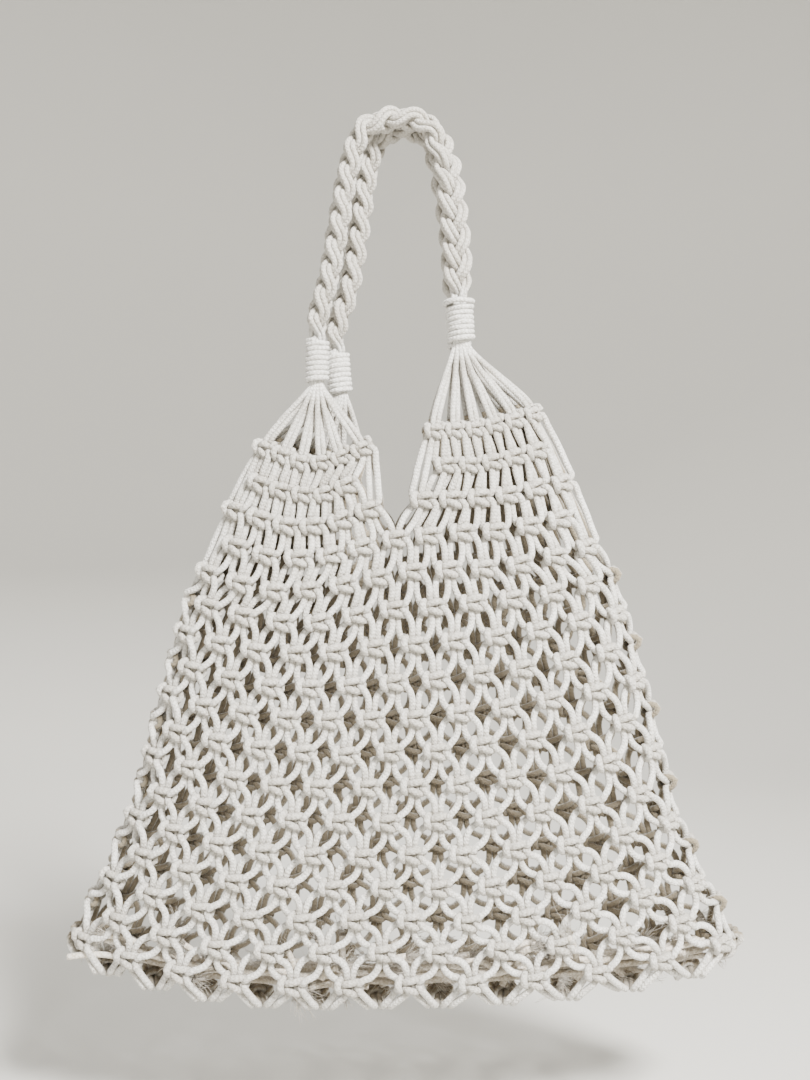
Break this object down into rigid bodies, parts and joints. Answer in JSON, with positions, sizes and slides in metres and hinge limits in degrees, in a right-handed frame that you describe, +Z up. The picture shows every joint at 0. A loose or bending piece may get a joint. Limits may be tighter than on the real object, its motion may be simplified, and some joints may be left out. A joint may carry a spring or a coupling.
{
  "type": "macrame tote bag",
  "caption": "Openwork tote bag of knotted white cotton cord, hanging from its plaited handles, with gathering wraps, a V in each face of the mouth and frayed cord ends inside the bottom.",
  "frame": {"origin": "where the bag hangs: the underside of the two handles at their highest point, half way between them", "axes": "+Z up, +X to the right of the viewer, +Y away from the viewer"},
  "size_m": [0.3789, 0.0707, 0.5383],
  "materials": {
    "cotton_cord": "matte braided cotton",
    "frayed_cotton": "matte frayed cotton"
  },
  "bodies": {
    "root": {"net_front": "cotton_cord", "net_back": "cotton_cord", "bottom_seam": "cotton_cord", "cord_ends": "frayed_cotton", "fan_front_left": "cotton_cord", "fan_front_right": "cotton_cord", "fan_back_left": "cotton_cord", "fan_back_right": "cotton_cord", "wrap_front_left": "cotton_cord", "wrap_front_right": "cotton_cord", "wrap_back_left": "cotton_cord", "wrap_back_right": "cotton_cord", "handle_front": "cotton_cord", "handle_back": "cotton_cord"}
  },
  "joints": []
}
